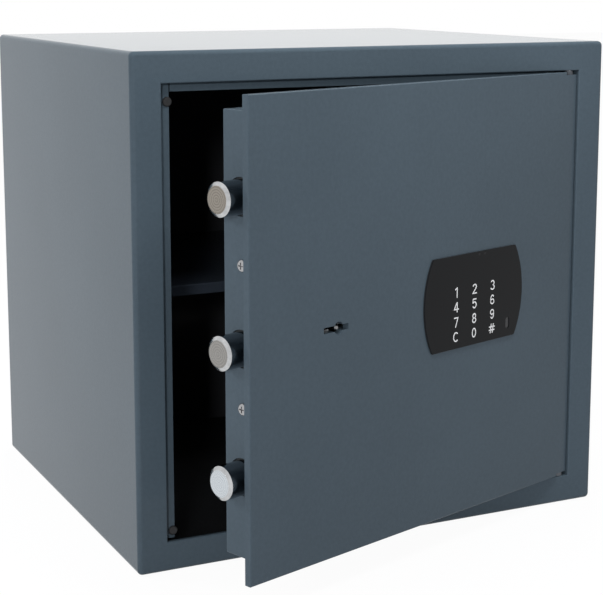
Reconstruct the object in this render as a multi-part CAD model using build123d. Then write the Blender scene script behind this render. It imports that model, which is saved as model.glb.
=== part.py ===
"""Free-standing electronic safe, built from folded sheet steel around a motor-driven bolt work.

The frame is millimetres, +Z up. The origin is the centre of the footprint on the floor, the front
faces -Y and the door is hinged at +X. Every door piece is drawn with the door closed, where its
edges are parallel to the cabinet's, and then swings about the hinge axis to the stored open angle.
"""

from build123d import *
import math
import os

# ---- cabinet ---------------------------------------------------------------------------------
cabinet_width = 420.0
cabinet_height = 400.0
cabinet_depth = 362.0
shell_sheet = 3.0
fold_radius = 4.0  # outside radius of the shell's folds
frame_face = 24.0  # width of the front frame around the door opening
frame_rim = 10.0  # depth of the frame's outer rim, where the side walls are welded on
frame_lip_radius = 1.2  # front edge of the door opening
frame_jamb = 12.0  # depth of the fold behind the opening's hinge side
back_sheet = 3.0
anchor_hole = 11.0
base_anchor_spacing_x = 300.0
base_anchor_spacing_y = 140.0
base_anchor_back = 50.0  # of the pattern's centre behind the cabinet's centre
back_anchor_spacing = 200.0
back_anchor_height = 290.0

# ---- door plate and its stops ----------------------------------------------------------------
door_gap = 1.0  # plate to frame at the lock side, the top and the bottom
hinge_gap = 1.5  # plate to frame at the hinge side
plate_thickness = 6.0
plate_edge_radius = 0.8
running_clearance = 0.3  # between faces of pieces that move past each other
seat_clearance = 0.02  # radial, of a pin or gear fixed in its bore
bearing_clearance = 0.05  # radial, of a shaft that turns or slides in its bore
buffer_diameter = 7.4
buffer_height = 1.5
buffer_edge_inset = 1.5  # of its centre from the stop's free edge
lower_buffer_rise = 6.0  # of its centre above the opening's bottom edge
upper_buffer_drop = 14.0
stop_sheet = 2.0
stop_overlap = 8.5  # how far the lock-side stop reaches into the opening
top_stop_overlap = 6.5  # how far the top stop does
stop_seat = 14.0  # how far the stop strips reach behind the frame

# ---- hinge -----------------------------------------------------------------------------------
door_open_angle = 18.0  # stored pose; 0 is closed
pivot_from_edge = 7.0
pivot_from_front = 4.5
hinge_pin_diameter = 6.0
hinge_pin_grip = 30.0  # length held in the door
hinge_notch_width = 14.0
hinge_notch_height = 2.5
hinge_washer_diameter = 8.6
lug_length = 24.0
lug_height = 12.0
lug_depth = 10.0
hinge_block_width = 15.0
hinge_block_depth = 5.5

# ---- bolt work cover -------------------------------------------------------------------------
cover_inset = 12.5  # from the plate's edge at the lock side, the top and the bottom
cover_hinge_inset = 40.0
cover_sheet = 1.5
cover_fold_radius = 2.0
cover_corner_radius = 0.5
cover_head_room = 7.0  # behind the carriage
cover_screw_depth = 20.0  # behind the door's front face
cover_screw_offsets = (-50.5, 53.5)  # from the plate's middle height
screw_diameter = 5.0
screw_head_diameter = 9.0
screw_head_height = 2.6
screw_length = 9.0
bracket_margin = 8.0  # web beyond the screws
bracket_overhang = 15.0

# ---- bolts and their carriage ----------------------------------------------------------------
bolt_diameter = 25.0
bolt_bevel = 3.0  # radial, around the bolt's end face
bolt_bevel_length = 2.2
bolt_length = 50.0
bolt_reach = 22.0  # beyond the cover, when thrown
lower_bolt_rise = 73.5  # above the plate's bottom edge
middle_bolt_drop = 7.0  # below the plate's middle height
upper_bolt_drop = 73.0  # below the plate's top edge
bolt_hole_clearance = 1.5  # radial, in the cover's side
bolt_flat_height = 6.3  # from the bolt's axis to its milled flat
carriage_thickness = 4.0
carriage_width = 20.0
carriage_overhang = 12.0  # above and below the outer bolts
carriage_bolt_screw = 6.0
carriage_bolt_screw_depth = 8.0
carriage_screw_head = 11.0
carriage_corner = 4.0
guide_sheet = 3.0
guide_foot = 20.0
guide_margin = 23.0
guide_corner = 6.0
guide_screw_inset = 7.0  # from the foot's edge
guide_screw_rises = (31.5, -28.0, 37.0, -32.0)  # from the lower, middle, middle and upper bolt
shoulder_diameter = 8.0
shoulder_head_diameter = 13.0
shoulder_head_height = 3.0
spacer_diameter = 14.0
carriage_lug_height = 16.0
carriage_guide_offsets = (-64.0, 62.0)  # from the plate's middle height
carriage_guide_reach = 20.0  # from the keyhole towards the bolts
arm_guide_reach = 34.0  # from the keyhole towards the hinge
arm_overhang = 10.0  # from the arm's guide to its end

# ---- drive -----------------------------------------------------------------------------------
gear_module = 1.25
pressure_angle = 20.0
backlash = 0.25  # taken off each tooth's thickness
key_gear_teeth = 20
key_quarter_turn = 90.0  # how far the key rotor turns while the bolts travel
motor_pinion_teeth = 18
arm_height = 20.0  # between the pitch lines of the arm's two racks
motor_pinion_reach = 30.0  # from the keyhole towards the hinge

# ---- emergency lock --------------------------------------------------------------------------
keyhole_inset = 87.5  # of its bore from the plate's edge at the lock side
keyhole_width = 25.5
keyhole_height = 4.6
keyhole_corner = 0.6
keyhole_bore = 9.5
keyhole_long_side = 2.5  # of the slot's middle from its bore, towards the lock side
keyway_height = 2.4  # of the rotor's slot, behind the plate's wider one
rotor_diameter = 31.8
rotor_case_clearance = 0.1  # radial
rotor_drum = 17.7
spindle_diameter = 12.0
keyway_depth = 14.0
key_post_diameter = 4.0
key_post_setback = 2.0  # of its end behind the plate's front face
lock_case_width = 42.0
lock_case_height = 56.0
lock_case_radius = 4.0
case_to_carriage = 1.5
lock_case_screw_x = 16.0
lock_case_screw_z = 23.0
case_screw_diameter = 4.0
case_screw_head = 7.0
case_screw_head_height = 2.4
plate_tapping = 3.0  # depth of the tapped holes in the back of the plate

# ---- motor -----------------------------------------------------------------------------------
gearbox_width = 40.0
gearbox_height = 31.0
gearbox_shaft_height = 12.5  # of the pinion above the gearbox's foot
gearbox_corner = 3.0
motor_diameter = 19.0
motor_length = 32.0
motor_boss = 6.0
motor_boss_length = 2.0
pinion_shaft = 5.0
pinion_shaft_grip = 10.0

# ---- keypad ----------------------------------------------------------------------------------
keypad_x = 55.0
keypad_flat_width = 101.0
keypad_width = 120.0
keypad_height = 75.0
keypad_body_depth = 1.1
keypad_panel_depth = 0.5
keypad_corner_radius = 1.8
panel_chamfer = 0.25
keypad_cable_bore = 14.0
keypad_stud = 4.0
keypad_stud_spacing = 64.0
keypad_stud_proud = 6.0  # behind the plate
keypad_board_width = 78.0
keypad_board_height = 62.0
keypad_board_depth = 0.5
keypad_board_pocket = 0.7
nut_width = 7.0
nut_height = 3.2
port_width = 4.6
port_height = 9.5
port_depth = 0.6  # below the panel's face
port_x = 41.6  # from the keypad's centre
port_z = -26.3
led_diameter = 2.0
led_offsets = (4.5, 11.5)
led_z = 35.2

# ---- electronics and battery -----------------------------------------------------------------
board_width = 90.0
board_height = 70.0
board_rise = 62.0  # of its centre above the plate's middle height
board_thickness = 1.6
board_corner = 2.0
relay_width = 12.0
relay_length = 16.0
relay_height = 10.0
terminal_width = 7.0
terminal_length = 26.0
terminal_height = 6.0
chip_width = 8.0
chip_length = 18.0
chip_height = 2.5
standoff_diameter = 6.0
standoff_height = 10.0
standoff_inset = 5.0
cell_diameter = 14.5
cell_length = 50.5
cell_count = 4
cell_gap = 0.6
cell_cap_diameter = 5.5
cell_cap_height = 1.5
contact_room = 3.5  # the compartment's height beyond the cells
holder_wall = 2.0
holder_drop = 90.0  # of its centre below the plate's middle height
lid_overlap = 4.0
lid_sheet = 2.0
lid_corner = 3.0
lid_ribs = 5
lid_rib_width = 40.0
lid_rib_height = 1.2
lid_rib_pitch = 4.0
rail_lip = 2.5
rail_wall = 1.5
stop_bar = 3.0
reset_inset = 26.5  # from the cover's hinge side
reset_button_diameter = 7.4
reset_button_proud = 2.0
reset_flange_diameter = 10.0
reset_flange = 1.2
reset_housing_diameter = 15.0
reset_housing_depth = 6.0
reset_housing_wall = 1.5

# ---- interior --------------------------------------------------------------------------------
shelf_sheet = 1.5
shelf_top = 200.0
shelf_setback = 113.0  # from the cabinet's front to the shelf's lip
shelf_lip = 9.0
shelf_side_gap = 3.0
support_length = 200.0
support_leg = 12.0
support_sheet = 1.5
mat_thickness = 2.0
mat_margin = 3.0
mat_anchor_clearance = 4.5

# ---- places that follow from the sizes -------------------------------------------------------
front = -cabinet_depth / 2
back = cabinet_depth / 2
inner_side = cabinet_width / 2 - shell_sheet
opening_side = cabinet_width / 2 - frame_face
opening_bottom = frame_face
opening_top = cabinet_height - frame_face
plate_left = door_gap - opening_side
plate_right = opening_side - hinge_gap
plate_bottom = opening_bottom + door_gap
plate_top = opening_top - door_gap
plate_middle = (plate_bottom + plate_top) / 2
plate_back = front + plate_thickness
bolt_heights = (plate_bottom + lower_bolt_rise, plate_middle - middle_bolt_drop, plate_top - upper_bolt_drop)
cover_screw_heights = [plate_middle + offset for offset in cover_screw_offsets]
keyhole_x = plate_left + keyhole_inset
keyhole_z = plate_middle
pivot_x = plate_right - pivot_from_edge
pivot_y = front + pivot_from_front
stop_front = plate_back + buffer_height + running_clearance
bolt_axis = stop_front + stop_sheet + running_clearance + bearing_clearance + bolt_diameter / 2
carriage_front = bolt_axis + bolt_flat_height
carriage_back = carriage_front + carriage_thickness
cover_back = carriage_back + cover_head_room + cover_sheet
cover_left = plate_left + cover_inset
cover_right = plate_right - cover_hinge_inset
cover_bottom = plate_bottom + cover_inset
cover_top = plate_top - cover_inset
bolt_end = cover_left - bolt_reach
bolt_root = bolt_end + bolt_length
carriage_right = bolt_root - 0.5
carriage_left = carriage_right - carriage_width
key_gear_radius = gear_module * key_gear_teeth / 2
motor_pinion_radius = gear_module * motor_pinion_teeth / 2
bolt_throw = math.radians(key_quarter_turn) * key_gear_radius
lower_rack_line = keyhole_z + key_gear_radius
upper_rack_line = lower_rack_line + arm_height
arm_middle = (lower_rack_line + upper_rack_line) / 2
motor_pinion_x = keyhole_x + motor_pinion_reach
motor_pinion_z = upper_rack_line + motor_pinion_radius
case_back = carriage_front - case_to_carriage
gear_back = carriage_back
rotor_back = plate_back + running_clearance + rotor_drum
rotor_bore = rotor_diameter / 2 + rotor_case_clearance
keypad_z = plate_middle
keypad_seat = front - keypad_body_depth
keypad_front = keypad_seat - keypad_panel_depth
board_x = keypad_x
board_z = plate_middle + board_rise
holder_x = keypad_x
holder_z = plate_middle - holder_drop
reset_x = cover_right - reset_inset
reset_z = plate_middle
window_width = cell_count * cell_diameter + (cell_count + 1) * cell_gap
window_height = cell_length + contact_room
lid_travel = window_height + lid_overlap
lid_front = cover_back + running_clearance
lid_back = lid_front + lid_sheet


def block(x0, x1, y0, y1, z0, z1):
    """A box between two corners."""
    box = Box(x1 - x0, y1 - y0, z1 - z0, align=(Align.MIN, Align.MIN, Align.MIN))
    return Pos(x0, y0, z0) * box


def rod_x(radius, x0, x1, y, z):
    """A cylinder along X between two planes."""
    rod = Cylinder(radius, x1 - x0, rotation=(0, 90, 0), align=(Align.CENTER, Align.CENTER, Align.MIN))
    return Pos(x0, y, z) * rod


def rod_y(radius, y0, y1, x, z):
    """A cylinder along Y between two planes."""
    rod = Cylinder(radius, y1 - y0, rotation=(-90, 0, 0), align=(Align.CENTER, Align.CENTER, Align.MIN))
    return Pos(x, y0, z) * rod


def rod_z(radius, z0, z1, x, y):
    """A cylinder along Z between two planes."""
    rod = Cylinder(radius, z1 - z0, align=(Align.CENTER, Align.CENTER, Align.MIN))
    return Pos(x, y, z0) * rod


def prism_y(sketch, y0, y1, x=0.0, z=0.0):
    """A sketch drawn with its own +Y along +Z, pushed backwards between two planes."""
    face = Plane(origin=(x, y1, z), x_dir=(1, 0, 0), z_dir=(0, -1, 0)) * sketch
    return extrude(face, amount=y1 - y0)


# ---- cabinet -----------------------------------------------------------------------------------


def cabinet_wrap():
    """The folded sheet that makes the sides, the top and the base."""
    start = front + frame_rim
    outline = RectangleRounded(cabinet_width, cabinet_height, fold_radius)
    hollow = RectangleRounded(2 * inner_side, cabinet_height - 2 * shell_sheet, fold_radius - shell_sheet)
    wrap = prism_y(outline - hollow, start, back - back_sheet, 0, cabinet_height / 2)
    for x, y in base_anchor_places():
        wrap -= rod_z(anchor_hole / 2, -1, shell_sheet + 1, x, y)
    return wrap


def base_anchor_places():
    """Where the floor anchors pass through the base."""
    half_x = base_anchor_spacing_x / 2
    half_y = base_anchor_spacing_y / 2
    return [(sx * half_x, base_anchor_back + sy * half_y) for sx in (-1, 1) for sy in (-1, 1)]


def front_frame():
    """The pressed frame around the door, with a rim folded back to the walls and a hinge-side jamb."""
    outline = RectangleRounded(cabinet_width, cabinet_height, fold_radius)
    blank = prism_y(outline, front, front + frame_rim, 0, cabinet_height / 2)
    blank = fillet(blank.faces().sort_by(Axis.Y)[0].edges(), fold_radius - 0.5)
    dish = RectangleRounded(2 * inner_side, cabinet_height - 2 * shell_sheet, fold_radius - shell_sheet)
    blank -= prism_y(dish, front + shell_sheet, front + frame_rim + 1, 0, cabinet_height / 2)
    opening_centre = (opening_top + opening_bottom) / 2
    opening = Rectangle(2 * opening_side, opening_top - opening_bottom)
    blank -= prism_y(opening, front - 1, front + shell_sheet + 1, 0, opening_centre)
    lip = blank.edges().filter_by(lambda e: abs(e.center().Y - front) < 0.01)
    lip = lip.filter_by(lambda e: abs(e.center().X) < opening_side + 0.1)
    lip = lip.filter_by(lambda e: opening_bottom - 0.1 < e.center().Z < opening_top + 0.1)
    blank = fillet(lip, frame_lip_radius)
    jamb_side = opening_side + shell_sheet
    jamb_front = front + frame_lip_radius
    blank += block(opening_side, jamb_side, jamb_front, front + frame_jamb, opening_bottom, opening_top)
    for z0, z1 in ((opening_bottom - lug_height, opening_bottom), (opening_top, opening_top + lug_height)):
        blank -= rod_z(hinge_pin_diameter / 2 + running_clearance, z0 - 1, z1 + 1, pivot_x, pivot_y)
    return blank


def back_panel():
    """The welded back, with two holes for wall anchors."""
    outline = RectangleRounded(cabinet_width, cabinet_height, fold_radius)
    panel = prism_y(outline, back - back_sheet, back, 0, cabinet_height / 2)
    for side in (-1, 1):
        x = side * back_anchor_spacing / 2
        panel -= rod_y(anchor_hole / 2, back - back_sheet - 1, back + 1, x, back_anchor_height)
    return panel


def left_door_stop():
    """An angle behind the frame's lock side, which the closed door's buffers meet."""
    reach = stop_overlap - opening_side
    root = reach - stop_overlap - stop_seat
    web = block(root, reach, stop_front, stop_front + stop_sheet, opening_bottom, opening_top)
    y0 = front + shell_sheet
    flange = block(root, root + stop_sheet, y0, stop_front + stop_sheet, opening_bottom, opening_top)
    return web + flange


def top_door_stop():
    """The same angle above the opening, running over the left one's upper end."""
    left = -opening_side - stop_seat
    right = plate_right - hinge_block_width - stop_overlap
    low = opening_top - top_stop_overlap
    high = opening_top + stop_seat
    web = block(left, right, stop_front, stop_front + stop_sheet, low, high)
    flange = block(left, right, front + shell_sheet, stop_front + stop_sheet, high - stop_sheet, high)
    overlap = block(left - 1, stop_overlap - opening_side + 1, front, back, low - 1, opening_top)
    return web + flange - overlap


def door_buffers():
    """Two rubber domes bonded to the lock-side stop, each reaching past its free edge."""
    domes = []
    x = stop_overlap - opening_side - buffer_edge_inset
    for z in (opening_bottom + lower_buffer_rise, opening_top - upper_buffer_drop):
        dome = rod_y(buffer_diameter / 2, stop_front - buffer_height, stop_front, x, z)
        dome = fillet(dome.faces().sort_by(Axis.Y)[0].edges(), buffer_height - 0.3)
        domes.append(dome)
    return Compound(domes)


def hinge_lugs():
    """Two blocks behind the frame, above and below the door, that carry the hinge pins."""
    y0 = front + shell_sheet
    y1 = y0 + lug_depth
    x0 = pivot_x - lug_length / 2
    x1 = pivot_x + lug_length / 2
    bore = rod_z(hinge_pin_diameter / 2 + bearing_clearance, -1, cabinet_height + 1, pivot_x, pivot_y)
    lower = block(x0, x1, y0, y1, opening_bottom - lug_height, opening_bottom) - bore
    upper = block(x0, x1, y0, y1, opening_top, opening_top + lug_height) - bore
    return Compound([lower, upper])


def floor_mat():
    """The mat on the base, with an opening around each anchor hole."""
    side = inner_side - mat_margin
    y0 = front + shell_sheet + mat_margin
    mat = block(-side, side, y0, back - back_sheet - mat_margin, shell_sheet, shell_sheet + mat_thickness)
    for x, y in base_anchor_places():
        radius = anchor_hole / 2 + mat_anchor_clearance
        mat -= rod_z(radius, shell_sheet - 1, shell_sheet + mat_thickness + 1, x, y)
    return mat


def shelf():
    """The loose shelf, with its front and rear edges folded down."""
    side = inner_side - shelf_side_gap
    y0 = front + shelf_setback
    y1 = back - back_sheet - shelf_side_gap
    tray = block(-side, side, y0, y1, shelf_top - shelf_lip, shelf_top)
    tray = fillet(tray.edges().filter_by(Axis.X).group_by(Axis.Z)[-1], shelf_sheet)
    inside = block(-side - 1, side + 1, y0 + shelf_sheet, y1 - shelf_sheet, 0, shelf_top - shelf_sheet)
    return tray - inside


def shelf_supports():
    """An angle rail on each side wall, under the shelf."""
    top = shelf_top - shelf_sheet - running_clearance
    y0 = front + shelf_setback + (back - back_sheet - front - shelf_setback - support_length) / 2
    y1 = y0 + support_length
    rails = []
    for side in (-1, 1):
        wall = side * inner_side
        inner = side * (inner_side - support_leg)
        face = side * (inner_side - support_sheet)
        seat = block(min(wall, inner), max(wall, inner), y0, y1, top - support_sheet, top)
        leg = block(min(wall, face), max(wall, face), y0, y1, top - support_leg, top)
        rails.append(seat + leg)
    return Compound(rails)


# ---- door --------------------------------------------------------------------------------------


def hinge_bore():
    """The bore that grips both hinge pins, cut from the plate and its blocks."""
    radius = hinge_pin_diameter / 2 + seat_clearance
    floor = plate_bottom + hinge_notch_height
    roof = plate_top - hinge_notch_height
    lower = rod_z(radius, floor - 1, floor + hinge_pin_grip, pivot_x, pivot_y)
    upper = rod_z(radius, roof - hinge_pin_grip, roof + 1, pivot_x, pivot_y)
    return [lower, upper]


def keyhole(height, y0, y1):
    """The flat key's slot, longer on one side of the round bore around its post."""
    slot = Pos(-keyhole_long_side, 0) * RectangleRounded(keyhole_width, height, keyhole_corner)
    return prism_y(slot + Circle(keyhole_bore / 2), y0, y1, keyhole_x, keyhole_z)


def door_plate():
    """The thick front plate, notched over its hinge pins."""
    plate = block(plate_left, plate_right, front, plate_back, plate_bottom, plate_top)
    plate = fillet(plate.faces().sort_by(Axis.Y)[0].edges(), plate_edge_radius)
    notch_x = plate_right - hinge_notch_width
    for z in (plate_bottom, plate_top - hinge_notch_height):
        plate -= block(notch_x, plate_right + 1, front - 1, plate_back + 1, z, z + hinge_notch_height)
    for bore in hinge_bore():
        plate -= bore
    plate -= keyhole(keyhole_height, front - 1, plate_back + 1)
    plate -= rod_y(keypad_cable_bore / 2, front - 1, plate_back + 1, keypad_x, keypad_z)
    for x in keypad_stud_places():
        plate -= rod_y(keypad_stud / 2 + bearing_clearance, front - 1, plate_back + 1, x, keypad_z)
    tapped = case_screw_diameter / 2 + seat_clearance
    for x, z, _ in plate_screw_seats():
        plate -= rod_y(tapped, plate_back - plate_tapping, plate_back + 1, x, z)
    return plate


def hinge_blocks():
    """The two blocks welded behind the plate around the hinge pins."""
    floor = plate_bottom + hinge_notch_height
    roof = plate_top - hinge_notch_height
    x0 = plate_right - hinge_block_width
    blocks = []
    spans = ((floor, floor + hinge_pin_grip + 3), (roof - hinge_pin_grip - 3, roof))
    for (z0, z1), bore in zip(spans, hinge_bore()):
        lump = block(x0, plate_right, plate_back, plate_back + hinge_block_depth, z0, z1)
        lump = chamfer(lump.faces().sort_by(Axis.Y)[-1].edges(), 1.0)
        blocks.append(lump - bore)
    return Compound(blocks)


def hinge_pins():
    """The pins held in the door and turning in the cabinet's lugs."""
    low = opening_bottom - lug_height + 1
    floor = plate_bottom + hinge_notch_height
    lower = rod_z(hinge_pin_diameter / 2, low, floor + hinge_pin_grip, pivot_x, pivot_y)
    roof = plate_top - hinge_notch_height
    high = opening_top + lug_height - 1
    upper = rod_z(hinge_pin_diameter / 2, roof - hinge_pin_grip, high, pivot_x, pivot_y)
    lower = chamfer(lower.faces().sort_by(Axis.Z)[0].edges(), 0.6)
    upper = chamfer(upper.faces().sort_by(Axis.Z)[-1].edges(), 0.6)
    return Compound([lower, upper])


def hinge_washers():
    """The thrust washers in the plate's notches."""
    ring = hinge_washer_diameter / 2
    bore = rod_z(hinge_pin_diameter / 2 + seat_clearance, 0, cabinet_height, pivot_x, pivot_y)
    low = opening_bottom + running_clearance
    lower = rod_z(ring, low, plate_bottom + hinge_notch_height, pivot_x, pivot_y) - bore
    high = opening_top - running_clearance
    upper = rod_z(ring, plate_top - hinge_notch_height, high, pivot_x, pivot_y) - bore
    return Compound([lower, upper])


def bolt_rods(radius, x0, x1):
    """A rod on each bolt's axis."""
    return [rod_x(radius, x0, x1, bolt_axis, z) for z in bolt_heights]


def door_cover():
    """The folded tray that closes the bolt work at the back of the door."""
    tray = block(cover_left, cover_right, plate_back, cover_back, cover_bottom, cover_top)
    tray = fillet(tray.edges().filter_by(Axis.Y), cover_corner_radius)
    tray = fillet(tray.faces().sort_by(Axis.Y)[-1].edges(), cover_fold_radius)
    inside = block(
        cover_left + cover_sheet,
        cover_right - cover_sheet,
        plate_back - 1,
        cover_back - cover_sheet,
        cover_bottom + cover_sheet,
        cover_top - cover_sheet,
    )
    inner_rim = inside.faces().sort_by(Axis.Y)[-1].edges()
    tray -= fillet(inner_rim, cover_fold_radius - cover_sheet)
    for hole in bolt_rods(bolt_diameter / 2 + bolt_hole_clearance, cover_left - 1, cover_left + 5):
        tray -= hole
    for z in cover_screw_heights:
        radius = screw_diameter / 2 + running_clearance
        tray -= rod_x(radius, cover_left - 1, cover_left + 5, front + cover_screw_depth, z)
        tray -= rod_x(radius, cover_right - 5, cover_right + 1, front + cover_screw_depth, z)
    window_x0, window_x1, window_z0, window_z1 = battery_window()
    tray -= block(window_x0, window_x1, cover_back - 5, cover_back + 1, window_z0, window_z1)
    button_hole = reset_button_diameter / 2 + bearing_clearance
    return tray - rod_y(button_hole, cover_back - 5, cover_back + 1, reset_x, reset_z)


def cover_bracket():
    """The angle on the plate that the cover's hinge side is screwed to."""
    x1 = cover_right - cover_sheet
    depth = front + cover_screw_depth + bracket_margin
    z0 = cover_screw_heights[0] - bracket_overhang
    z1 = cover_screw_heights[-1] + bracket_overhang
    web = block(x1 - guide_sheet, x1, plate_back, depth, z0, z1)
    foot = block(x1 - guide_foot, x1, plate_back, plate_back + guide_sheet, z0, z1)
    bracket = web + foot
    for z in cover_screw_heights:
        bracket -= rod_x(screw_diameter / 2 + seat_clearance, x1 - 10, x1 + 1, front + cover_screw_depth, z)
    for x, z in bracket_screw_places():
        bracket -= rod_y(case_screw_diameter / 2 + bearing_clearance, plate_back - 1, plate_back + 9, x, z)
    return bracket


def cross_recess(width, depth):
    """The cross cut into a screw's head."""
    arm = Rectangle(width, width * 0.2)
    return extrude(arm + Rot(0, 0, 90) * arm, amount=depth)


def pan_screw(diameter, head, head_height, length):
    """A pan head screw along Z, its seat at zero and its head above."""
    shank = Cylinder(diameter / 2, length, align=(Align.CENTER, Align.CENTER, Align.MAX))
    shank = chamfer(shank.faces().sort_by(Axis.Z)[0].edges(), diameter * 0.1)
    top = Cylinder(head / 2, head_height, align=(Align.CENTER, Align.CENTER, Align.MIN))
    top = fillet(top.faces().sort_by(Axis.Z)[-1].edges(), head_height * 0.6)
    recess = Pos(0, 0, head_height - head_height * 0.5) * cross_recess(head * 0.55, head_height)
    return shank + top - recess


def cover_screws():
    """The pan head screws in both sides of the cover."""
    screws = []
    for z in cover_screw_heights:
        for x, turn in ((cover_left, -90), (cover_right, 90)):
            screw = pan_screw(screw_diameter, screw_head_diameter, screw_head_height, screw_length)
            screws.append(Pos(x, front + cover_screw_depth, z) * Rot(0, turn, 0) * screw)
    return Compound(screws)


# ---- bolt work ---------------------------------------------------------------------------------


def bolt_guide():
    """The angle behind the cover's side whose bores carry the three bolts."""
    x0 = cover_left + cover_sheet
    x1 = x0 + guide_sheet
    y1 = cover_back - cover_fold_radius - running_clearance
    z0 = bolt_heights[0] - guide_margin
    z1 = bolt_heights[-1] + guide_margin
    web = block(x0, x1, plate_back, y1, z0, z1)
    web = fillet(web.faces().sort_by(Axis.Y)[-1].edges().filter_by(Axis.X), guide_corner)
    guide = web + block(x0, x0 + guide_foot, plate_back, plate_back + guide_sheet, z0, z1)
    for bore in bolt_rods(bolt_diameter / 2 + bearing_clearance, x0 - 1, x1 + 1):
        guide -= bore
    for z in cover_screw_heights:
        guide -= rod_x(screw_diameter / 2 + seat_clearance, x0 - 1, x1 + 1, front + cover_screw_depth, z)
    for x, z in guide_screw_places():
        guide -= rod_y(case_screw_diameter / 2 + bearing_clearance, plate_back - 1, plate_back + 9, x, z)
    return guide


def sliding_bolt(z):
    """One bolt: a bright rod with a bevelled end and a flat for the carriage."""
    rod = rod_x(bolt_diameter / 2, bolt_end, bolt_root, bolt_axis, z)
    end_face = rod.faces().sort_by(Axis.X)[0]
    rod = chamfer(end_face.edges(), bolt_bevel, bolt_bevel_length, reference=end_face)
    half = bolt_diameter / 2 + 1
    flat = block(carriage_left - 0.5, bolt_root + 1, carriage_front, bolt_axis + half, z - half, z + half)
    x = (carriage_left + carriage_right) / 2
    thread = carriage_front - carriage_bolt_screw_depth
    tapped = rod_y(carriage_bolt_screw / 2 + seat_clearance, thread - 1, carriage_front + 1, x, z)
    return rod - flat - tapped


def carriage_screws():
    """The screws that hold the bolts to the carriage."""
    x = (carriage_left + carriage_right) / 2
    screws = []
    for z in bolt_heights:
        length = carriage_thickness + carriage_bolt_screw_depth
        screw = pan_screw(carriage_bolt_screw, carriage_screw_head, screw_head_height, length)
        screws.append(Pos(x, carriage_back, z) * Rot(-90, 0, 0) * screw)
    return Compound(screws)


def gear_sketch(teeth, gap_angle):
    """An involute gear with a gap centred at an angle from its local +Y."""
    pitch_radius = gear_module * teeth / 2
    base_radius = pitch_radius * math.cos(math.radians(pressure_angle))
    tip_radius = pitch_radius + gear_module
    root_radius = pitch_radius - 1.25 * gear_module

    def involute(radius):
        """The angle that the involute has swept at a radius."""
        cosine = min(1.0, base_radius / radius)
        return math.tan(math.acos(cosine)) - math.acos(cosine)

    half_angle = math.pi / 2 / teeth - backlash / 4 / pitch_radius + involute(pitch_radius)
    start = max(base_radius, root_radius)
    radii = [start + (tip_radius - start) * i / 5 for i in range(6)]
    flank = [(r, half_angle - involute(r)) for r in radii]
    flank = [(root_radius - 0.2, half_angle)] + flank
    points = flank + [(r, -angle) for r, angle in reversed(flank)]
    outline = [(r * math.sin(angle), r * math.cos(angle)) for r, angle in points]
    tooth = make_face(Polyline(*outline, close=True))
    turns = [gap_angle + 360 * (i + 0.5) / teeth for i in range(teeth)]
    return Circle(root_radius) + [Rot(0, 0, turn) * tooth for turn in turns]


def rack_sketch(side):
    """Rack teeth on a pitch line at zero, pointing to +Y or -Y, with a tooth centred at zero."""
    pitch = math.pi * gear_module
    slope = math.tan(math.radians(pressure_angle))
    half = pitch / 4 - backlash / 4
    tip = half - gear_module * slope
    root = half + 1.25 * gear_module * slope
    first = -math.ceil(bolt_throw / pitch) - 2
    teeth = []
    for i in range(first, 3):
        x = i * pitch
        low = -1.25 * gear_module * side
        high = gear_module * side
        corners = [(x - root, low), (x - tip, high), (x + tip, high), (x + root, low)]
        teeth.append(make_face(Polyline(*corners, close=True)))
    return Sketch() + teeth


def bolt_carriage():
    """The plate that joins the bolts, with its slotted lugs and the arm with two racks."""
    z0 = bolt_heights[0] - carriage_overhang
    z1 = bolt_heights[-1] + carriage_overhang
    outline = Pos((carriage_left + carriage_right) / 2, (z0 + z1) / 2) * Rectangle(carriage_width, z1 - z0)
    slot_run = bolt_throw + shoulder_diameter + 2 * running_clearance
    lower_post, upper_post, arm_post = guide_post_places()
    for x, z in (lower_post, upper_post):
        lug_end = x + shoulder_diameter
        lug = Rectangle(lug_end - carriage_right, carriage_lug_height)
        outline += Pos((lug_end + carriage_right) / 2, z) * lug
    arm_end = arm_post[0] + arm_overhang
    root = arm_height / 2 - 1.25 * gear_module
    arm = Rectangle(arm_end - carriage_right, 2 * root)
    outline += Pos((arm_end + carriage_right) / 2, arm_middle) * arm
    outline = fillet(outline.vertices().group_by(Axis.X)[0], carriage_corner)
    outline += Pos(keyhole_x, lower_rack_line) * rack_sketch(-1)
    outline += Pos(motor_pinion_x, upper_rack_line) * rack_sketch(1)
    for x, z in (lower_post, upper_post, arm_post):
        run = SlotOverall(slot_run, shoulder_diameter + 2 * running_clearance)
        outline -= Pos(x - bolt_throw / 2, z) * run
    plate = prism_y(outline, carriage_front, carriage_back)
    x = (carriage_left + carriage_right) / 2
    hole = carriage_bolt_screw / 2 + bearing_clearance
    for z in bolt_heights:
        plate -= rod_y(hole, carriage_front - 1, carriage_back + 1, x, z)
    return plate


def guide_post_places():
    """Where the carriage's slots ride on posts."""
    places = [(keyhole_x - carriage_guide_reach, plate_middle + offset) for offset in carriage_guide_offsets]
    return places + [(keyhole_x + arm_guide_reach, arm_middle)]


def guide_posts():
    """Shouldered posts on the plate that carry the carriage."""
    posts = []
    for x, z in guide_post_places():
        post = rod_y(spacer_diameter / 2, plate_back, carriage_front - bearing_clearance, x, z)
        end = carriage_back + running_clearance + shoulder_head_height
        posts.append(post + rod_y(shoulder_diameter / 2, plate_back, end, x, z))
    return Compound(posts)


def post_caps():
    """The retaining rings pressed on the posts behind the carriage."""
    caps = []
    y0 = carriage_back + running_clearance
    for x, z in guide_post_places():
        cap = rod_y(shoulder_head_diameter / 2, y0, y0 + shoulder_head_height, x, z)
        cap = fillet(cap.faces().sort_by(Axis.Y)[-1].edges(), 0.6)
        caps.append(cap - rod_y(shoulder_diameter / 2 + seat_clearance, y0 - 1, y0 + 9, x, z))
    return Compound(caps)


# ---- emergency lock and motor ------------------------------------------------------------------


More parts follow.
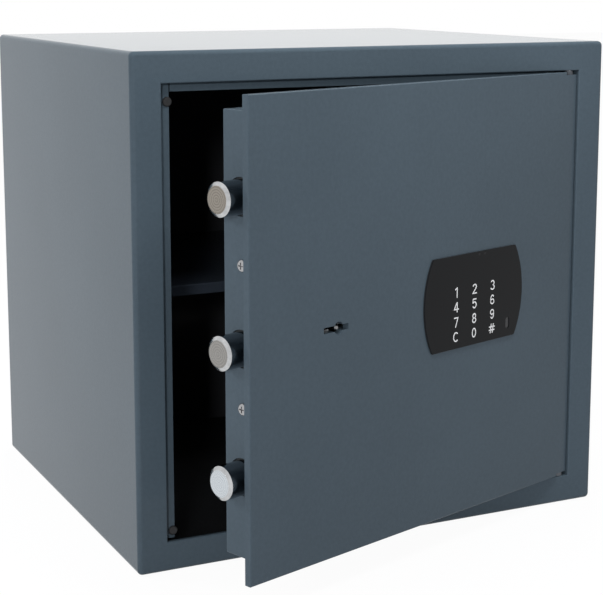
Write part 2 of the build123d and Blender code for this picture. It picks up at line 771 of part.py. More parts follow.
def lock_case_screw_places():
    """The corners of the lock case where it is screwed down."""
    signs = ((-1, -1), (-1, 1), (1, -1), (1, 1))
    return [(keyhole_x + sx * lock_case_screw_x, keyhole_z + sz * lock_case_screw_z) for sx, sz in signs]


def guide_screw_places():
    """The screws through the bolt guide's foot."""
    x = cover_left + cover_sheet + guide_foot - guide_screw_inset
    lower, middle, upper = bolt_heights
    bolts = (lower, middle, middle, upper)
    return [(x, z + rise) for z, rise in zip(bolts, guide_screw_rises)]


def bracket_screw_places():
    """The screws through the cover bracket's foot."""
    x = cover_right - cover_sheet - guide_foot + guide_screw_inset
    return [(x, z) for z in cover_screw_heights]


def plate_screw_seats():
    """Each screw into the plate's back, with the depth at which its head sits."""
    sunk = case_back - case_screw_head_height - running_clearance
    on_foot = plate_back + guide_sheet
    seats = [(x, z, sunk) for x, z in lock_case_screw_places()]
    return seats + [(x, z, on_foot) for x, z in guide_screw_places() + bracket_screw_places()]


def plate_screws():
    """The screws that hold the lock case, the guide and the bracket to the plate."""
    screws = []
    for x, z, seat in plate_screw_seats():
        length = seat - plate_back + plate_tapping - running_clearance
        screw = pan_screw(case_screw_diameter, case_screw_head, case_screw_head_height, length)
        screws.append(Pos(x, seat, z) * Rot(-90, 0, 0) * screw)
    return Compound(screws)


def lock_case():
    """The cast case around the key rotor."""
    outline = RectangleRounded(lock_case_width, lock_case_height, lock_case_radius)
    case = prism_y(outline, plate_back, case_back, keyhole_x, keyhole_z)
    case = chamfer(case.faces().sort_by(Axis.Y)[-1].edges(), 0.8)
    case -= rod_y(rotor_bore, plate_back - 1, rotor_back + running_clearance, keyhole_x, keyhole_z)
    case -= rod_y(spindle_diameter / 2 + bearing_clearance, plate_back, case_back + 1, keyhole_x, keyhole_z)
    sunk = case_back - case_screw_head_height - running_clearance
    for x, z in lock_case_screw_places():
        case -= rod_y(case_screw_diameter / 2 + bearing_clearance, plate_back - 1, case_back + 1, x, z)
        case -= rod_y(case_screw_head / 2 + running_clearance, sunk, case_back + 1, x, z)
    return case


def key_rotor():
    """The rotor that the flat key turns: a slotted drum and its rear spindle."""
    drum = rod_y(rotor_diameter / 2, plate_back + running_clearance, rotor_back, keyhole_x, keyhole_z)
    rotor = drum + rod_y(spindle_diameter / 2, rotor_back, gear_back, keyhole_x, keyhole_z)
    rotor -= keyhole(keyway_height, plate_back, plate_back + running_clearance + keyway_depth)
    post = rod_y(key_post_diameter / 2, front + key_post_setback, rotor_back, keyhole_x, keyhole_z)
    return rotor + chamfer(post.faces().sort_by(Axis.Y)[0].edges(), key_post_diameter / 5)


def key_gear():
    """The gear on the rotor's spindle that drives the carriage's lower rack."""
    gear = prism_y(gear_sketch(key_gear_teeth, 0), carriage_front, gear_back, keyhole_x, keyhole_z)
    bore = spindle_diameter / 2 + seat_clearance
    return gear - rod_y(bore, case_back, gear_back + 1, keyhole_x, keyhole_z)


def motor_gearbox():
    """The gear motor: a boxed train with the motor's can beside it."""
    x0 = motor_pinion_x - gearbox_width / 2
    x1 = x0 + gearbox_width
    z0 = motor_pinion_z - gearbox_shaft_height
    z1 = z0 + gearbox_height
    box = block(x0, x1, plate_back, case_back, z0, z1)
    box = fillet(box.edges().filter_by(Axis.Y), gearbox_corner)
    box = chamfer(box.faces().sort_by(Axis.Y)[-1].edges(), 0.6)
    axis_y = (plate_back + case_back) / 2
    axis_z = (z0 + z1) / 2
    can = rod_x(motor_diameter / 2, x1, x1 + motor_length, axis_y, axis_z)
    can = chamfer(can.faces().sort_by(Axis.X)[-1].edges(), 1.2)
    boss = rod_x(motor_boss / 2, x1, x1 + motor_length + motor_boss_length, axis_y, axis_z)
    shaft_bore = pinion_shaft / 2 + bearing_clearance
    bore = rod_y(shaft_bore, case_back - pinion_shaft_grip, case_back + 1, motor_pinion_x, motor_pinion_z)
    return box + can + boss - bore


def motor_pinion():
    """The pinion and its shaft, driving the carriage's upper rack."""
    teeth = gear_sketch(motor_pinion_teeth, 180)
    gear = prism_y(teeth, carriage_front, gear_back, motor_pinion_x, motor_pinion_z)
    inner_end = case_back - pinion_shaft_grip + running_clearance
    return gear + rod_y(pinion_shaft / 2, inner_end, gear_back, motor_pinion_x, motor_pinion_z)


# ---- keypad ------------------------------------------------------------------------------------


def keypad_outline():
    """A rectangle whose two ends bulge outwards."""
    half_x = keypad_flat_width / 2
    half_z = keypad_height / 2
    bulge = keypad_width / 2
    lines = Line((-half_x, half_z), (half_x, half_z)) + Line((half_x, -half_z), (-half_x, -half_z))
    arcs = ThreePointArc((half_x, half_z), (bulge, 0), (half_x, -half_z))
    arcs += ThreePointArc((-half_x, -half_z), (-bulge, 0), (-half_x, half_z))
    face = make_face(lines + arcs)
    return fillet(face.vertices(), keypad_corner_radius)


def keypad_stud_places():
    """Where the keypad's studs pass through the plate."""
    return (keypad_x - keypad_stud_spacing / 2, keypad_x + keypad_stud_spacing / 2)


def keypad_body():
    """The keypad's housing, with a board pocket and two threaded studs."""
    body = prism_y(keypad_outline(), keypad_seat, front, keypad_x, keypad_z)
    pocket = Rectangle(keypad_board_width, keypad_board_height)
    body -= prism_y(pocket, front - keypad_board_pocket, front + 1, keypad_x, keypad_z)
    for x in keypad_stud_places():
        stud_end = plate_back + keypad_stud_proud
        body += rod_y(keypad_stud / 2, front - keypad_board_pocket, stud_end, x, keypad_z)
    return body - keypad_port()


def keypad_port():
    """The recess for a hand-held emergency supply."""
    port = SlotOverall(port_height, port_width, rotation=90)
    return prism_y(port, keypad_front - 1, keypad_front + port_depth, keypad_x + port_x, keypad_z + port_z)


def keypad_panel():
    """The glossy touch panel on the keypad's front."""
    panel = prism_y(keypad_outline(), keypad_front, keypad_seat, keypad_x, keypad_z)
    panel = chamfer(panel.faces().sort_by(Axis.Y)[0].edges(), panel_chamfer)
    for x, z in led_places():
        panel -= rod_y(led_diameter / 2 + seat_clearance, keypad_front - 1, keypad_seat + 1, x, z)
    return panel - keypad_port()


def led_places():
    """Where the two status lamps sit in the panel."""
    return [(keypad_x + x, keypad_z + led_z) for x in led_offsets]


def status_leds():
    """The two small lamps near the panel's upper edge."""
    return Compound([rod_y(led_diameter / 2, keypad_front, keypad_seat, x, z) for x, z in led_places()])


def keypad_board():
    """The touch sensor's circuit board in the back of the keypad."""
    y0 = front - keypad_board_pocket
    width = keypad_board_width - 2 * running_clearance
    height = keypad_board_height - 2 * running_clearance
    board = prism_y(Rectangle(width, height), y0, y0 + keypad_board_depth, keypad_x, keypad_z)
    for x in keypad_stud_places():
        board -= rod_y(keypad_stud / 2 + running_clearance, y0 - 1, front, x, keypad_z)
    return board


def keypad_nuts():
    """The nuts on the keypad's studs behind the plate."""
    nuts = []
    thread = keypad_stud / 2 + seat_clearance
    for x in keypad_stud_places():
        hexagon = RegularPolygon(nut_width / 2, 6, major_radius=False)
        nut = prism_y(hexagon, plate_back, plate_back + nut_height, x, keypad_z)
        nuts.append(nut - rod_y(thread, plate_back - 1, plate_back + 9, x, keypad_z))
    return Compound(nuts)


# ---- electronics and battery -------------------------------------------------------------------


def standoff_places():
    """The corners of the control board where it stands on its posts."""
    half_x = board_width / 2 - standoff_inset
    half_z = board_height / 2 - standoff_inset
    return [(board_x + sx * half_x, board_z + sz * half_z) for sx in (-1, 1) for sz in (-1, 1)]


def board_standoffs():
    """The posts on the plate under the control board."""
    top = plate_back + standoff_height
    posts = [rod_y(standoff_diameter / 2, plate_back, top, x, z) for x, z in standoff_places()]
    return Compound(posts)


def control_board():
    """The lock's circuit board with its relay, connector and driver chip."""
    y0 = plate_back + standoff_height
    y1 = y0 + board_thickness
    board = prism_y(RectangleRounded(board_width, board_height, board_corner), y0, y1, board_x, board_z)
    relay = Rectangle(relay_length, relay_width)
    board += prism_y(relay, y1, y1 + relay_height, board_x - board_width / 4, board_z + board_height / 5)
    terminal = Rectangle(terminal_width, terminal_length)
    board += prism_y(terminal, y1, y1 + terminal_height, board_x + board_width / 3, board_z)
    chip = Rectangle(chip_length, chip_width)
    board += prism_y(chip, y1, y1 + chip_height, board_x, board_z - board_height / 5)
    return board


def battery_window():
    """The battery compartment's opening in the cover."""
    x0 = holder_x - window_width / 2
    z0 = holder_z - window_height / 2
    return x0, x0 + window_width, z0, z0 + window_height


def battery_holder():
    """The moulded compartment behind the cover's window."""
    x0, x1, z0, z1 = battery_window()
    rear = cover_back - cover_sheet
    floor = rear - cell_diameter
    tub = block(
        x0 - holder_wall,
        x1 + holder_wall,
        floor - holder_wall,
        rear,
        z0 - holder_wall,
        z1 + holder_wall,
    )
    tub = fillet(tub.edges().filter_by(Axis.Y), holder_wall)
    tub -= block(x0, x1, floor, rear + 1, z0, z1)
    for i in range(1, cell_count):
        x = x0 + i * (cell_diameter + cell_gap) + cell_gap / 2
        tub += block(x - cell_gap / 4, x + cell_gap / 4, floor, floor + cell_diameter / 8, z0, z1)
    return tub


def battery_cells():
    """The cells, each with its positive cap."""
    x0, _, z0, _ = battery_window()
    cells = []
    y = cover_back - cover_sheet - cell_diameter / 2 + bearing_clearance
    foot = z0 + contact_room / 4
    top = foot + cell_length
    for i in range(cell_count):
        x = x0 + cell_gap + cell_diameter / 2 + i * (cell_diameter + cell_gap)
        cell = rod_z(cell_diameter / 2, foot, top - cell_cap_height, x, y)
        cell = fillet(cell.edges(), 0.6)
        cells.append(cell + rod_z(cell_cap_diameter / 2, foot + cell_cap_height, top, x, y))
    return Compound(cells)


def battery_lid():
    """The sliding lid over the battery compartment, with finger ribs."""
    x0, x1, z0, z1 = battery_window()
    width = x1 - x0 + 2 * lid_overlap
    height = z1 - z0 + 2 * lid_overlap
    lid = prism_y(RectangleRounded(width, height, lid_corner), lid_front, lid_back, holder_x, holder_z)
    for i in range(lid_ribs):
        z = z1 - 2 * lid_overlap - i * lid_rib_pitch
        half = lid_rib_width / 2
        rib = block(holder_x - half, holder_x + half, lid_back, lid_back + lid_rib_height, z - 1, z + 1)
        lid += chamfer(rib.faces().sort_by(Axis.Y)[-1].edges().filter_by(Axis.X), 0.6)
    return lid


def lid_rails():
    """The two lipped rails that the lid slides in, and the bar it rests on."""
    x0, x1, z0, z1 = battery_window()
    low = z0 - lid_overlap - running_clearance
    high = z1 + lid_overlap + lid_travel
    rear = lid_back + running_clearance + rail_wall
    rails = []
    for side, edge in ((-1, x0 - lid_overlap), (1, x1 + lid_overlap)):
        inner = edge + side * running_clearance
        outer = inner + side * rail_wall
        lip = edge - side * rail_lip
        wall = block(min(inner, outer), max(inner, outer), cover_back, rear, low - stop_bar, high)
        cap = block(min(lip, outer), max(lip, outer), rear - rail_wall, rear, low - stop_bar, high)
        rails.append(wall + cap)
    left = x0 - lid_overlap - running_clearance
    right = x1 + lid_overlap + running_clearance
    bar = block(left, right, cover_back, rear, low - stop_bar, low)
    return rails[0] + rails[1] + bar


def reset_housing():
    """The switch housing behind the reset button."""
    rear = cover_back - cover_sheet
    front_end = rear - reset_housing_depth
    shell = rod_y(reset_housing_diameter / 2, front_end, rear, reset_x, reset_z)
    cavity = reset_flange_diameter / 2 + running_clearance
    return shell - rod_y(cavity, front_end + reset_housing_wall, rear + 1, reset_x, reset_z)


def reset_button():
    """The flanged button that lets a new code be set."""
    rear = cover_back - cover_sheet - running_clearance
    flange = rod_y(reset_flange_diameter / 2, rear - reset_flange, rear, reset_x, reset_z)
    end = cover_back + reset_button_proud
    stem = rod_y(reset_button_diameter / 2, rear - reset_flange, end, reset_x, reset_z)
    stem = fillet(stem.faces().sort_by(Axis.Y)[-1].edges(), 0.6)
    return flange + stem


# ---- assembly ----------------------------------------------------------------------------------


def swung(shape):
    """A door piece, turned about the hinge axis to the stored open angle."""
    hinge = Pos(pivot_x, pivot_y, 0)
    return hinge * Rot(0, 0, door_open_angle) * hinge.inverse() * shape


cabinet_pieces = {
    "cabinet_wrap": cabinet_wrap(),
    "front_frame": front_frame(),
    "back_panel": back_panel(),
    "left_door_stop": left_door_stop(),
    "top_door_stop": top_door_stop(),
    "door_buffers": door_buffers(),
    "hinge_lugs": hinge_lugs(),
    "floor_mat": floor_mat(),
    "shelf": shelf(),
    "shelf_supports": shelf_supports(),
}

door_pieces = {
    "door_plate": door_plate(),
    "hinge_blocks": hinge_blocks(),
    "hinge_pins": hinge_pins(),
    "hinge_washers": hinge_washers(),
    "door_cover": door_cover(),
    "cover_bracket": cover_bracket(),
    "cover_screws": cover_screws(),
    "bolt_guide": bolt_guide(),
    "upper_bolt": sliding_bolt(bolt_heights[2]),
    "middle_bolt": sliding_bolt(bolt_heights[1]),
    "lower_bolt": sliding_bolt(bolt_heights[0]),
    "bolt_carriage": bolt_carriage(),
    "carriage_screws": carriage_screws(),
    "guide_posts": guide_posts(),
    "post_caps": post_caps(),
    "plate_screws": plate_screws(),
    "lock_case": lock_case(),
    "key_rotor": key_rotor(),
    "key_gear": key_gear(),
    "motor_gearbox": motor_gearbox(),
    "motor_pinion": motor_pinion(),
    "keypad_body": keypad_body(),
    "keypad_panel": keypad_panel(),
    "status_leds": status_leds(),
    "keypad_board": keypad_board(),
    "keypad_nuts": keypad_nuts(),
    "board_standoffs": board_standoffs(),
    "control_board": control_board(),
    "battery_holder": battery_holder(),
    "battery_cells": battery_cells(),
    "battery_lid": battery_lid(),
    "lid_rails": lid_rails(),
    "reset_housing": reset_housing(),
    "reset_button": reset_button(),
}

os.makedirs("parts", exist_ok=True)
for name, shape in cabinet_pieces.items():
    export_step(shape, f"parts/{name}.step")
for name, shape in door_pieces.items():
    export_step(swung(shape), f"parts/{name}.step")
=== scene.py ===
"""A furniture safe with its door ajar: finishes, keypad figures, floor, light and camera."""

import math

import bpy
import numpy as np
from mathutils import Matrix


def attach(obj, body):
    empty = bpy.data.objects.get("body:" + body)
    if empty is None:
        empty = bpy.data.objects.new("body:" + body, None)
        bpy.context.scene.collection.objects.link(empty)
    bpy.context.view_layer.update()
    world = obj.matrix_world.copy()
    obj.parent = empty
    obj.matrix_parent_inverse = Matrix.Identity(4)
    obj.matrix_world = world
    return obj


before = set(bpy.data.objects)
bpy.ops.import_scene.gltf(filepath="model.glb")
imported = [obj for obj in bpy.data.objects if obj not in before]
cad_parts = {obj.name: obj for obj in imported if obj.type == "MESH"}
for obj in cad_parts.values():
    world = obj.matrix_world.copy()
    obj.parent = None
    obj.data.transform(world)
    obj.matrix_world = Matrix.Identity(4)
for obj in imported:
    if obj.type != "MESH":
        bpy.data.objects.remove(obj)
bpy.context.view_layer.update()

# ---- sizes, in metres --------------------------------------------------------------------------
OPEN_ANGLE = math.radians(18.0)
HINGE = (0.1775, -0.1765)
PANEL_FRONT = -0.1826
BOLT_AXIS_Y = -0.15835
BOLT_END_X = -0.1945
BOLT_FACE_DEPTH = 0.0003
BOLT_HEAD_DEPTH = 0.0023  # of the end face and its bevel together
BOLT_RING_PITCH = 0.0019
BOLT_HEIGHTS = {"lower_bolt": 0.0985, "middle_bolt": 0.193, "upper_bolt": 0.302}
INNER_FACES_SIDE = 0.2085  # the walls' inner faces lie within these four planes
INNER_FACES_BACK = 0.1795
INNER_FACES_BOTTOM = 0.0015
INNER_FACES_TOP = 0.3985
CELL_BAND_START = 0.121
FLOOR_REACH = 9.0
FLOOR_HEIGHT = -0.0002


# ---- shader maths ------------------------------------------------------------------------------


class Value:
    """A number that changes over a surface. Sums and products of it add Math nodes."""

    def __init__(self, wiring, socket):
        self.wiring = wiring
        self.socket = socket

    def _math(self, operation, *numbers):
        settings = {"operation": operation}
        node = self.wiring.node("ShaderNodeMath", settings, dict(enumerate(numbers)))
        return Value(self.wiring, node.outputs[0])

    def __add__(self, other):
        return self._math("ADD", self, other)

    def __radd__(self, other):
        return self._math("ADD", other, self)

    def __sub__(self, other):
        return self._math("SUBTRACT", self, other)

    def __rsub__(self, other):
        return self._math("SUBTRACT", other, self)

    def __mul__(self, other):
        return self._math("MULTIPLY", self, other)

    def __rmul__(self, other):
        return self._math("MULTIPLY", other, self)

    def __pow__(self, other):
        return self._math("POWER", self, other)

    def below(self, limit):
        return self._math("LESS_THAN", self, limit)

    def above(self, limit):
        return self._math("GREATER_THAN", self, limit)

    def sine(self):
        return self._math("SINE", self)

    def size(self):
        return self._math("ABSOLUTE", self)


class Wiring:
    """A tree of shader nodes, and short ways to add to it."""

    def __init__(self, tree):
        self.tree = tree

    def node(self, kind, settings=None, inputs=None):
        """Adds a node: its settings first, then the numbers or links of its sockets."""
        node = self.tree.nodes.new(kind)
        for setting, value in (settings or {}).items():
            setattr(node, setting, value)
        for socket, value in (inputs or {}).items():
            if isinstance(value, Value):
                value = value.socket
            if isinstance(value, bpy.types.NodeSocket):
                self.tree.links.new(value, node.inputs[socket])
            else:
                node.inputs[socket].default_value = value
        return node

    def between(self, value, low, high, start=0.0, end=1.0):
        """A value taken from one range to another, and held at its ends."""
        inputs = {"Value": value, "From Min": low, "From Max": high, "To Min": start, "To Max": end}
        return Value(self, self.node("ShaderNodeMapRange", None, inputs).outputs[0])

    def shown(self):
        """1 for rays that show the backdrop, straight or in metal and glass, and 0 for others."""
        rays = self.node("ShaderNodeLightPath").outputs
        kinds = ("Is Camera Ray", "Is Glossy Ray", "Is Transmission Ray")
        return self.between(sum(Value(self, rays[kind]) for kind in kinds), 0.0, 1.0)


class Finish(Wiring):
    """One material around a Principled shader, made from what it is told about the surface."""

    def __init__(self, name, colour, roughness, metallic=0.0, **constants):
        self.material = bpy.data.materials.new(name)
        self.material.use_nodes = True
        super().__init__(self.material.node_tree)
        self.shader = self.tree.nodes["Principled BSDF"]
        self.shader.inputs["Base Color"].default_value = (*colour, 1.0)
        self.shader.inputs["Roughness"].default_value = roughness
        self.shader.inputs["Metallic"].default_value = metallic
        for socket, number in constants.items():
            self.shader.inputs[socket.replace("_", " ")].default_value = number
        self.material.diffuse_color = (*colour, 1.0)

    def place(self):
        """The object's own coordinates."""
        return self.node("ShaderNodeTexCoord").outputs["Object"]

    def door_place(self):
        """Coordinates that lie square to the door although it stands open."""
        cosine, sine = math.cos(OPEN_ANGLE), math.sin(OPEN_ANGLE)
        x = HINGE[0] - (HINGE[0] * cosine + HINGE[1] * sine)
        y = HINGE[1] - (HINGE[1] * cosine - HINGE[0] * sine)
        inputs = {"Vector": self.place(), "Location": (x, y, 0), "Rotation": (0, 0, -OPEN_ANGLE)}
        return self.node("ShaderNodeMapping", None, inputs).outputs[0]

    def axes(self, vector):
        """The three numbers of a vector."""
        parts = self.node("ShaderNodeSeparateXYZ", None, {0: vector}).outputs
        return [Value(self, part) for part in parts]

    def noise(self, vector, scale, detail=2.0):
        """Soft cloudy noise between 0 and 1."""
        inputs = {"Vector": vector, "Scale": scale, "Detail": detail}
        return Value(self, self.node("ShaderNodeTexNoise", None, inputs).outputs[0])

    def mixed(self, factor, first, second):
        """A colour between two colours or links."""
        node = self.node("ShaderNodeMix", {"data_type": "RGBA"}, {0: factor})
        for index, colour in ((6, first), (7, second)):
            if isinstance(colour, bpy.types.NodeSocket):
                self.tree.links.new(colour, node.inputs[index])
            else:
                node.inputs[index].default_value = (*colour, 1.0)
        return node.outputs[2]

    def feed(self, socket, value):
        """Links a varying value or colour to the shader."""
        if isinstance(value, Value):
            value = value.socket
        self.tree.links.new(value, self.shader.inputs[socket])

    def bump(self, height, distance, strength=1.0):
        """Relief from a height, with its full depth in metres."""
        inputs = {"Height": height, "Distance": distance, "Strength": strength}
        self.feed("Normal", self.node("ShaderNodeBump", None, inputs).outputs[0])

    def on(self, *names):
        """Puts the finish on CAD nodes."""
        for name in names:
            dress(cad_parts[name], self)
        return self


def dress(piece, finish):
    """Gives a piece one finish."""
    piece.data.materials.clear()
    piece.data.materials.append(finish.material)


# ---- finishes ----------------------------------------------------------------------------------

PETROL = (0.064, 0.089, 0.111)
# near black: the painted shade of the cabinet's inward faces, where little light reaches
INNER_SHADE = (0.035, 0.036, 0.04)
PAINT_INDEX = 1.135  # low, so that the gloss is faint face on and strong at a glancing angle
PEEL_SCALE = 1100.0
SWELL_SCALE = 320.0
DRIFT_SCALE = 6.0
PEEL_DEPTH = 0.00012


def powder_coat(name, colour, roughness):
    """Satin powder coat: a fine orange peel, with a faint drift in shade and gloss."""
    gloss = {"Coat_Weight": 1.0, "Coat_IOR": PAINT_INDEX, "Coat_Roughness": 0.11}
    coat = Finish(name, colour, roughness, IOR=PAINT_INDEX, **gloss)
    place = coat.place()
    grain = coat.noise(place, PEEL_SCALE, 1.0)
    swell = coat.noise(place, SWELL_SCALE, 1.0)
    drift = coat.noise(place, DRIFT_SCALE, 3.0)
    shade = coat.between(drift * 0.6 + swell * 0.4, 0.35, 0.65)
    darker = tuple(channel * 0.93 for channel in colour)
    lighter = tuple(min(1.0, channel * 1.07) for channel in colour)
    coat.feed("Base Color", coat.mixed(shade, darker, lighter))
    coat.feed("Roughness", roughness + (grain - 0.5) * 0.16)
    coat.bump(grain * 0.6 + swell * 0.4, PEEL_DEPTH)
    return coat


def coat_with_inner_shade(name, colour, roughness):
    """The powder coat, with near-black painted shade on all faces that look inwards, where little
    light reaches.
    """
    coat = powder_coat(name, colour, roughness)
    x, y, z = coat.axes(coat.place())
    across = x.size().below(INNER_FACES_SIDE) * y.below(INNER_FACES_BACK)
    inside = across * z.above(INNER_FACES_BOTTOM) * z.below(INNER_FACES_TOP)
    outside = coat.shader.inputs["Base Color"].links[0].from_socket
    coat.feed("Base Color", coat.mixed(inside, outside, INNER_SHADE))
    return coat


def worked_steel(name, colour, roughness, stretch=(1.0, 1.0, 1.0)):
    """Plated or rolled metal with a faint drawn grain."""
    steel = Finish(name, colour, roughness, 1.0)
    inputs = {"Vector": steel.place(), "Scale": stretch}
    stretched = steel.node("ShaderNodeMapping", None, inputs).outputs[0]
    grain = steel.noise(stretched, 700.0, 2.0)
    cloud = steel.noise(steel.place(), 60.0, 2.0)
    steel.feed("Roughness", roughness + (grain - 0.5) * 0.22 + (cloud - 0.5) * 0.12)
    darker = tuple(channel * 0.88 for channel in colour)
    steel.feed("Base Color", steel.mixed(cloud, darker, colour))
    steel.bump(grain, 0.00002)
    return steel


def moulded(name, colour, roughness, relief=0.00003, index=1.5):
    """Moulded plastic or rubber with a fine sparked grain."""
    plastic = Finish(name, colour, roughness, IOR=index)
    grain = plastic.noise(plastic.place(), 1500.0, 2.0)
    plastic.feed("Roughness", roughness + (grain - 0.5) * 0.12)
    plastic.bump(grain, relief)
    return plastic


def bolt_finish(name, height, valley, ridge):
    """Plating on the bolt's shaft, darkened against the bevel as painted shade that dims the
    shaft's reflection, and an end face turned in fine rings whose tone, given per bolt, is a
    painted reflection.
    """
    bolt = Finish(name, (0.86, 0.87, 0.88), 0.07, 1.0)
    x, y, z = bolt.axes(bolt.door_place())
    away_y = y - BOLT_AXIS_Y
    away_z = z - height
    radius = (away_y * away_y + away_z * away_z) ** 0.5
    face = x.below(BOLT_END_X + BOLT_FACE_DEPTH)
    head = x.below(BOLT_END_X + BOLT_HEAD_DEPTH)
    rings = (radius * (2 * math.pi / BOLT_RING_PITCH)).sine()
    cloud = bolt.noise(bolt.place(), 220.0, 2.0)
    turned = 0.24 + rings * 0.05 + (cloud - 0.5) * 0.1
    plated = 0.17 + cloud * 0.06
    bolt.feed("Roughness", face * turned + (1.0 - face) * plated)
    ringed_face_with_painted_reflection = bolt.mixed(bolt.between(rings, -1.0, 1.0), valley, ridge)
    bevel = bolt.mixed(cloud, (0.34, 0.35, 0.36), (0.66, 0.67, 0.68))
    # the shaft's colour is painted darker than the bevel's, a painted shade that dims its
    # reflection
    shaft_shade_and_bevel = bolt.mixed(head, (0.22, 0.24, 0.26), bevel)
    bolt.feed("Metallic", 1.0 - face * 0.25)
    bolt.feed("Base Color", bolt.mixed(face, shaft_shade_and_bevel, ringed_face_with_painted_reflection))
    bolt.bump(face * rings, 0.00002)
    return bolt


def circuit_board():
    """Solder mask over a faint net of tracks."""
    board = Finish("solder_mask", (0.015, 0.085, 0.035), 0.35)
    net = {"Vector": board.door_place(), "Scale": 260.0}
    edges = {"feature": "DISTANCE_TO_EDGE", "distance": "EUCLIDEAN"}
    cells = board.node("ShaderNodeTexVoronoi", edges, net)
    track = Value(board, cells.outputs[0]).below(0.06)
    board.feed("Base Color", board.mixed(track, (0.012, 0.07, 0.03), (0.03, 0.15, 0.06)))
    return board


def needle_felt():
    """Short matted fibres."""
    felt = Finish("needle_felt", (0.012, 0.013, 0.014), 0.95)
    fibre = felt.noise(felt.place(), 900.0, 4.0)
    felt.feed("Base Color", felt.mixed(fibre, (0.007, 0.008, 0.009), (0.02, 0.021, 0.023)))
    felt.bump(fibre, 0.0006)
    return felt


def cell_sleeve():
    """A dark shrink sleeve with a warm band at the positive end."""
    sleeve = Finish("cell_sleeve", (0.02, 0.02, 0.022), 0.3)
    band = sleeve.axes(sleeve.place())[2].above(CELL_BAND_START)
    scuff = sleeve.noise(sleeve.place(), 400.0)
    sleeve.feed("Base Color", sleeve.mixed(band, (0.02, 0.02, 0.022), (0.42, 0.2, 0.06)))
    sleeve.feed("Roughness", 0.25 + scuff * 0.12)
    return sleeve


painted = powder_coat("petrol_powder_coat", PETROL, 0.42)
painted.on("front_frame", "left_door_stop", "top_door_stop", "hinge_lugs", "hinge_blocks")
painted.on("door_plate", "door_cover")
# the wrap and back panel carry near-black painted shade on their inward faces
coat_with_inner_shade("petrol_with_painted_inner_shade", PETROL, 0.42).on("cabinet_wrap", "back_panel")
# the shelf and its supports are darkened to near black, a painted shade of the dim inside
powder_coat("shelf_coat_with_painted_shade", (0.022, 0.028, 0.038), 0.5).on("shelf", "shelf_supports")
plated = worked_steel("zinc_plate", (0.56, 0.57, 0.58), 0.34)
plated.on("hinge_pins", "cover_bracket", "guide_posts", "post_caps")
plated.on("plate_screws", "carriage_screws", "keypad_nuts", "board_standoffs", "lid_rails")
worked_steel("dull_washer", (0.11, 0.12, 0.135), 0.5).on("hinge_washers")
worked_steel("bright_screw", (0.42, 0.42, 0.43), 0.24).on("cover_screws")
machined = worked_steel("machined_steel", (0.5, 0.5, 0.51), 0.26)
machined.on("key_gear", "motor_pinion", "bolt_carriage")
# the key rotor's steel is darkened, a painted shade that dims its reflection in the keyhole
worked_steel("key_rotor_painted_shade", (0.24, 0.245, 0.25), 0.3).on("key_rotor")
worked_steel("motor_can", (0.45, 0.46, 0.47), 0.4).on("motor_gearbox")
worked_steel("cast_zinc", (0.30, 0.31, 0.32), 0.5).on("lock_case")
# the bolt guide is painted near black, a painted shade for the shadowed inside of the bolts'
# clearance holes
worked_steel("bolt_guide_painted_shade", (0.05, 0.055, 0.06), 0.5).on("bolt_guide")
moulding = moulded("black_moulding", (0.016, 0.017, 0.019), 0.42)
moulding.on("keypad_body", "battery_holder", "battery_lid", "reset_housing")
moulded("red_moulding", (0.42, 0.02, 0.02), 0.38).on("reset_button")
moulded("black_rubber", (0.02, 0.02, 0.021), 0.6, 0.00006).on("door_buffers")
moulded("tinted_lamp", (0.016, 0.016, 0.018), 0.2, index=1.25).on("status_leds")
circuit_board().on("keypad_board", "control_board")
needle_felt().on("floor_mat")
cell_sleeve().on("battery_cells")
RING_TONES_AND_REFLECTION = {  # the valleys and ridges of the rings on each bolt's end face; their tone, bluish white low and warm grey higher up, is a painted reflection
    "lower_bolt": ((0.50, 0.54, 0.57), (0.58, 0.62, 0.65)),
    "middle_bolt": ((0.23, 0.225, 0.215), (0.31, 0.30, 0.285)),
    "upper_bolt": ((0.20, 0.18, 0.155), (0.30, 0.275, 0.24)),
}
for node, height in BOLT_HEIGHTS.items():
    bolt_finish(node + "_chrome_painted_shade_and_reflection", height, *RING_TONES_AND_REFLECTION[node]).on(node)

panel = Finish("gloss_panel", (0.006, 0.0065, 0.0075), 0.3, IOR=1.2)
haze = panel.noise(panel.place(), 90.0, 3.0)
panel.feed("Roughness", 0.26 + haze * 0.1)
panel.on("keypad_panel")


# ---- keypad figures ----------------------------------------------------------------------------


def on_door(points):
    """Turns points drawn square to the closed door about the hinge to the stored angle."""
    across = points[:, 0] - HINGE[0]
    deep = points[:, 1] - HINGE[1]
    turned = points.copy()
    turned[:, 0] = HINGE[0] + across * math.cos(OPEN_ANGLE) - deep * math.sin(OPEN_ANGLE)
    turned[:, 1] = HINGE[1] + across * math.sin(OPEN_ANGLE) + deep * math.cos(OPEN_ANGLE)
    return turned


def ribbon(path, width):
    """A flat stroke: the path's points moved to either side, square to it, by half the width."""
    along = np.gradient(path, axis=0)
    along /= np.linalg.norm(along, axis=1, keepdims=True)
    across = np.column_stack((-along[:, 1], along[:, 0])) * width / 2
    return np.stack((path + across, path - across), axis=1).reshape(-1, 2)


def line(x0, y0, x1, y1):
    """A straight path between two points."""
    share = np.linspace(0.0, 1.0, 3)[:, None]
    return np.array((x0, y0)) * (1 - share) + np.array((x1, y1)) * share


def bow(x, y, wide, high, first, last):
    """Part of an ellipse about a centre, between two angles in degrees."""
    angle = np.radians(np.linspace(first, last, 41))
    return np.column_stack((x + wide * np.cos(angle), y + high * np.sin(angle)))


def curl(turn):
    """The open hook and closed bowl of a six, or of a nine when it is turned over."""
    hook = np.vstack((bow(0.0, -0.02, 0.20, 0.44, 38, 180), [(-0.20, -0.12), (-0.20, -0.19)]))
    return [hook * turn, bow(0.0, -0.19, 0.20, 0.23, 0, 360) * turn]


